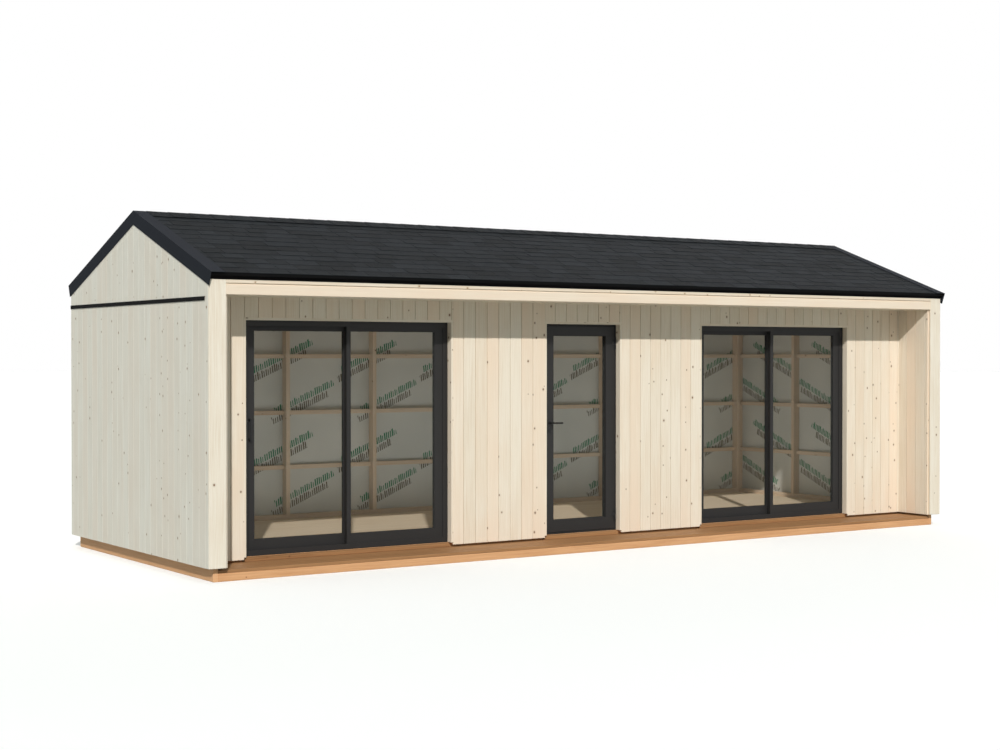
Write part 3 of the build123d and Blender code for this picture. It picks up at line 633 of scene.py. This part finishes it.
def wing_battens():
    """Upright battens behind the front edges of the wing linings."""
    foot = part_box("wing_linings")[0][2]
    corner_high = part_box("corner_front_boards")[1][1]
    left, right = solid_spans("wing_linings", 0)
    ends = (level(foot), level(under_roof(corner_high)))
    depth = (corner_high, corner_high + BATTEN[1])
    work = bmesh.new()
    marks = layers(work)
    for low, high in ((left[0] - BATTEN[0], left[0]), (right[1], right[1] + BATTEN[0])):
        outline = [(low, depth[0]), (high, depth[0]), (high, depth[1]), (low, depth[1])]
        plank(work, marks, outline, ends, lambda across, out, run: (across, out, run))
    bmesh.ops.recalc_face_normals(work, faces=work.faces)
    finish_piece("wing_lining_battens", work, "framing_timber", "root")


def eave_shade_strips():
    """Black strips on the front and back walls under the roof boards, down to the foot where the eave's
    cast shadow ends: dark sheets that stand in for painted shade.
    """
    low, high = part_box("shingles_front")
    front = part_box("porch_eave_rail")[0][1]
    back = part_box("back_wall_cladding")[1][1]
    work = bmesh.new()
    marks = layers(work)
    for wall, outward in ((front, -1.0), (back, 1.0)):
        near, far = sorted((wall, wall + outward * EAVE_SHADE_STRIP))
        outline = [(near, EAVE_SHADE_FOOT), (far, EAVE_SHADE_FOOT), (far, under_roof(far)),
                   (near, under_roof(near))]
        plank(work, marks, outline, (level(low[0]), level(high[0])),
              lambda across, out, run: (run, across, out))
    bmesh.ops.recalc_face_normals(work, faces=work.faces)
    finish_piece("eave_painted_shade_strips", work, "black_flashing", "root", look="drip")


def floor():
    """Boards along the room."""
    low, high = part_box("floor_boards")
    boards("floor_planks", "floor_boards", [(low[1], high[1], level(low[0]), level(high[0]))],
           high[2] - low[2], lying(low[2], 1.0), FLOOR_COVER, low[1], FLOOR_JOINT, FLOOR_JOINT)


def roof_boards():
    """Boards from eave to ridge, seen from under the eaves and in the room."""
    for side, sign in (("front", -1.0), ("back", 1.0)):
        node = f"roof_boards_{side}"
        low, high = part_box(node)
        slope = max(abs(low[1]), abs(high[1])) / cos(ROOF_PITCH)

        def place(across, out, run, sign=sign):
            drop = (SHINGLE_BUILD + out) / cos(ROOF_PITCH) + run * sin(ROOF_PITCH)
            return (across, sign * run * cos(ROOF_PITCH), RIDGE_TOP - drop)

        boards(f"{node}_planks", node, [(low[0], high[0], level(0.0), level(slope))], ROOF_BOARD,
               place, ROOF_BOARD_COVER, low[0])


def shingles():
    """Rows of tabs, each a thin wedge whose butt covers the head of the row below."""
    for side, sign in (("front", -1.0), ("back", 1.0)):
        node = f"shingles_{side}"
        low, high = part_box(node)
        slope = max(abs(low[1]), abs(high[1])) / cos(ROOF_PITCH)
        work = bmesh.new()
        marks = layers(work)
        tab(work, marks, (low[0], high[0]), (slope, 0.0), UNDERLAY - TAB_BUTT, sign)
        for row in range(ceil(slope / SHINGLE_ROW)):
            butt = slope - row * SHINGLE_ROW
            head = max(butt - SHINGLE_ROW - SHINGLE_LAP, 0.0)
            left = low[0]
            while left < high[0]:
                right = min(left + random.uniform(*SHINGLE_WIDTHS), high[0])
                if high[0] - right < SHINGLE_LEAST:
                    right = high[0]
                lift = random.choice(TAB_LIFTS)
                nudge = random.uniform(-TAB_NUDGE, 0.0) if row else 0.0
                tab(work, marks, (left, right - SHINGLE_GAP), (butt + nudge, head), lift, sign)
                left = right
        bmesh.ops.recalc_face_normals(work, faces=work.faces)
        finish_piece(f"{node}_tabs", work, SLOT_OF[node], BODY_OF[node], (node,))


def tab(work, marks, x, run, lift, sign):
    """One tab between two values of x, from its butt down the slope to its thinner head."""
    start, shade = own_look(9.0)
    heights = (TAB_BUTT + lift, TAB_HEAD)
    corners = {}
    for i, s in enumerate(x):
        for k, t in enumerate(run):
            for top in (0, 1):
                sunk = SHINGLE_BUILD - (heights[k] if top else 0.0)
                z = RIDGE_TOP - t * sin(ROOF_PITCH) - sunk / cos(ROOF_PITCH)
                vert = work.verts.new((s, sign * t * cos(ROOF_PITCH), z))
                corners[i, k, top] = (vert, (s, t))
    quads = [((0, 0, 1), (1, 0, 1), (1, 1, 1), (0, 1, 1)), ((0, 0, 0), (1, 0, 0), (1, 0, 1), (0, 0, 1)),
             ((0, 0, 0), (0, 0, 1), (0, 1, 1), (0, 1, 0)), ((1, 0, 0), (1, 1, 0), (1, 1, 1), (1, 0, 1)),
             ((0, 1, 0), (0, 1, 1), (1, 1, 1), (1, 1, 0)), ((0, 0, 0), (0, 1, 0), (1, 1, 0), (1, 0, 0))]
    for quad in quads:
        face = work.faces.new([corners[key][0] for key in quad])
        for loop, key in zip(face.loops, quad):
            paint(loop, marks, start, corners[key][1], shade)


def ridge():
    """Cap shingles folded over the ridge, each lapping the next."""
    low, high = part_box("ridge_cap")
    work = bmesh.new()
    marks = layers(work)
    x = low[0]
    while x < high[0] - CAP_LEAST:
        cap(work, marks, (x, min(x + CAP_EXPOSURE + CAP_LAP, high[0])), high[1])
        x += CAP_EXPOSURE
    bmesh.ops.recalc_face_normals(work, faces=work.faces)
    finish_piece("ridge_cap_shingles", work, "roof_shingles", "root", ("ridge_cap",))


def cap(work, marks, x, reach):
    """One folded cap between two values of x, raised at the first, reaching down both slopes."""
    start, shade = own_look(9.0)
    rings = []
    for s, rise in zip(x, (CAP_BUTT, TAB_HEAD)):
        for base in (rise, 0.0):
            ring = []
            for y in (-reach, 0.0, reach):
                z = RIDGE_TOP - abs(y) * tan(ROOF_PITCH) + base / cos(ROOF_PITCH)
                ring.append((work.verts.new((s, y, z)), (y, s)))
            rings.append(ring)
    top_a, low_a, top_b, low_b = rings
    for first, second in ((top_a, top_b), (low_b, low_a), (low_a, top_a), (top_b, low_b)):
        for i in (0, 1):
            quad = [first[i], first[i + 1], second[i + 1], second[i]]
            face = work.faces.new([corner[0] for corner in quad])
            for loop, corner in zip(face.loops, quad):
                paint(loop, marks, start, corner[1], shade)
    for i in (0, 2):
        face = work.faces.new([top_a[i][0], low_a[i][0], low_b[i][0], top_b[i][0]])
        for loop in face.loops:
            loop[marks[1]] = (shade, shade, shade, 1.0)


def gaskets():
    """Rubber seals round both faces of each pane."""
    frames = [(pane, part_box(pane), BODY_OF[pane])
              for pane in ("left_slider_glass", "right_slider_glass", "door_glass")]
    low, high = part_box("slider_fixed_glass")
    for side, (left, right) in zip(("left", "right"), solid_spans("slider_fixed_glass", 0)):
        box = ((left, low[1], low[2]), (right, high[1], high[2]))
        frames.append((f"{side}_fixed_glass", box, "root"))
    for name, (low, high), body in frames:
        work = bmesh.new()
        layers(work)
        left, right = low[0] + GLASS_REBATE, high[0] - GLASS_REBATE
        foot, top = low[2] + GLASS_REBATE, high[2] - GLASS_REBATE
        bars = (((left, left + GASKET), (foot, top)), ((right - GASKET, right), (foot, top)),
                ((left, right), (foot, foot + GASKET)), ((left, right), (top - GASKET, top)))
        for face_y, outward in ((low[1], -1.0), (high[1], 1.0)):
            depth = (face_y, face_y + outward * GASKET_HEIGHT)
            for x, z in bars:
                centre = Vector((sum(x) / 2, sum(depth) / 2, sum(z) / 2))
                size = Vector((x[1] - x[0], abs(depth[1] - depth[0]), z[1] - z[0]))
                for vert in bmesh.ops.create_cube(work, size=1.0)["verts"]:
                    vert.co = centre + Vector([c * s for c, s in zip(vert.co, size)])
        finish_piece(f"{name}_seal", work, SLOT_OF["door_leaf"], body, look="gasket")


# Nodes that keep their CAD shape and own look, with the width that each one's edges are eased by
EASED = {
    "corner_side_boards": 0.003,
    "door_jamb_linings": 0.002, "door_head_linings": 0.002,
    "back_wall_rails": 0.002, "back_wall_studs": 0.002,
    "end_wall_rails": 0.002, "end_wall_studs": 0.002,
    "front_wall_studs": 0.002, "door_lintels": 0.002,
    "cladding_battens": 0.001, "roof_purlins": 0.003,
    "foundation_side_bearers": 0.004, "foundation_long_bearers": 0.004,
    "floor_and_porch_joists": 0.003, "porch_front_beam": 0.004,
    "slider_tracks": 0.0004,
    "left_slider_interlock": 0.0004, "right_slider_interlock": 0.0004,
    "left_verge_trim": 0.0005, "right_verge_trim": 0.0005,
    "left_slider_frame": 0.0015, "right_slider_frame": 0.0015, "door_frame": 0.0015,
    "left_slider_fixed_leaf": 0.002, "right_slider_fixed_leaf": 0.002,
    "left_slider_leaf": 0.002, "right_slider_leaf": 0.002, "door_leaf": 0.002,
    "slider_fixed_glass": 0.0, "left_slider_glass": 0.0, "right_slider_glass": 0.0, "door_glass": 0.0,
}


def everything_else():
    """The pieces whose CAD shape shows as it is, but for their eased edges."""
    for node, bevel in EASED.items():
        dress(node, bevel)
    dress("corner_front_boards", 0.004, look="corner_boards")
    dress("porch_beam", 0.004, look="porch_rail")
    dress("porch_eave_rail", 0.003, look="porch_rail")
    dress("porch_deck_boards", 0.004, look="deck")
    dress("door_sills", 0.003, look="deck")
    dress("eave_trims", 0.0004, look="drip")
    dress("gable_drips", 0.0005, look="drip")
    for node in ("left_slider_pull", "right_slider_pull"):
        dress(node, 0.003, 3, smooth=True)
    for node in ("door_lever", "door_roses", "door_hinge_pins", "door_hinge_knuckles"):
        dress(node, 0.0008, 2, smooth=True)
    dress("wall_membranes", 0.0, printed=True)


def direct_rays(tree):
    """One for rays that show a surface as it is seen, straight, mirrored or through glass."""
    rays = tree.nodes.new("ShaderNodeLightPath")
    seen = rays.outputs["Is Camera Ray"]
    for kind in ("Is Glossy Ray", "Is Transmission Ray"):
        either = tree.nodes.new("ShaderNodeMath")
        either.operation = "MAXIMUM"
        tree.links.new(seen, either.inputs[0])
        tree.links.new(rays.outputs[kind], either.inputs[1])
        seen = either.outputs[0]
    return seen


def ground():
    """A pale floor that keeps the shadow."""
    bpy.ops.mesh.primitive_plane_add(size=GROUND_SIZE, location=(0.0, 0.0, 0.0))
    plane = bpy.context.object
    plane.name = "ground"
    look = Look("pale_ground")
    place = look.add("ShaderNodeTexCoord").outputs["Object"]
    grit = look.noise(place, 30.0, 2.0)
    pale = look.mix(grit, (0.87, 0.87, 0.87, 1.0), (0.90, 0.90, 0.90, 1.0))
    seen = direct_rays(look.tree)
    glow = look.math("MULTIPLY", seen, 0.17)
    look.surface(Base_Color=look.mix(seen, (0.40, 0.42, 0.40, 1.0), pale), Roughness=1.0,
                 Emission_Color=(1.0, 1.0, 1.0, 1.0), Emission_Strength=glow)
    look.shine(0.0)
    plane.data.materials.append(look.material)


def sky():
    """A plain white surround, which lights the object more weakly than it shows."""
    world = bpy.data.worlds.new("sky")
    bpy.context.scene.world = world
    world.use_nodes = True
    tree = world.node_tree
    background = tree.nodes["Background"]
    strength = tree.nodes.new("ShaderNodeMapRange")
    strength.inputs["To Min"].default_value = SKY_STRENGTH
    strength.inputs["To Max"].default_value = 1.0
    seen = direct_rays(tree)
    tree.links.new(seen, strength.inputs["Value"])
    tree.links.new(strength.outputs["Result"], background.inputs["Strength"])
    colour = tree.nodes.new("ShaderNodeMix")
    colour.data_type = "RGBA"
    colour.inputs[6].default_value = (*SKY_COLOUR, 1.0)
    colour.inputs[7].default_value = (1.0, 1.0, 1.0, 1.0)
    tree.links.new(seen, colour.inputs[0])
    tree.links.new(colour.outputs[2], background.inputs["Color"])


def hang(light, strength, colour, place, turn):
    """Adds a lamp to the scene."""
    light.energy = strength
    light.color = colour
    lamp = bpy.data.objects.new(light.name, light)
    lamp.location = place
    lamp.rotation_euler = turn
    bpy.context.scene.collection.objects.link(lamp)
    return lamp


def lamps():
    """The sun, a soft fill from behind, and a lamp that looks up from the room's floor."""
    for name, strength, angle, colour, direction in (
            ("sun", SUN_STRENGTH, SUN_ANGLE, SUN_COLOUR, SUN_DIRECTION),
            ("fill", FILL_STRENGTH, FILL_ANGLE, FILL_COLOUR, FILL_DIRECTION)):
        light = bpy.data.lights.new(name, "SUN")
        light.angle = angle
        hang(light, strength, colour, (0.0, 0.0, 0.0), direction.to_track_quat("-Z", "Y").to_euler())

    room = bpy.data.lights.new("room_light", "AREA")
    room.shape = "RECTANGLE"
    room.size, room.size_y = ROOM_LIGHT_SIZE
    floor_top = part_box("floor_boards")[1][2]
    place = (0.0, ROOM_LIGHT_Y, floor_top + ROOM_LIGHT_RISE)
    lamp = hang(room, ROOM_LIGHT, ROOM_LIGHT_COLOUR, place, (pi, 0.0, 0.0))
    lamp.visible_camera = False
    lamp.visible_glossy = False


def camera():
    """The photograph's own view."""
    lens = bpy.data.cameras.new("camera")
    lens.sensor_fit = "HORIZONTAL"
    lens.sensor_width = 36.0
    lens.lens = CAMERA_LENS
    lens.clip_end = 200.0
    view = bpy.data.objects.new("camera", lens)
    view.location = CAMERA_AT
    view.rotation_euler = (CAMERA_TILT, 0.0, CAMERA_TURN)
    bpy.context.scene.collection.objects.link(view)
    bpy.context.scene.camera = view


front_cladding()
back_and_end_cladding()
wing_linings()
porch_soffit()
wing_battens()
eave_shade_strips()
floor()
roof_boards()
shingles()
ridge()
gaskets()
everything_else()
ground()
sky()
lamps()
camera()
bpy.context.scene.view_settings.view_transform = "Standard"
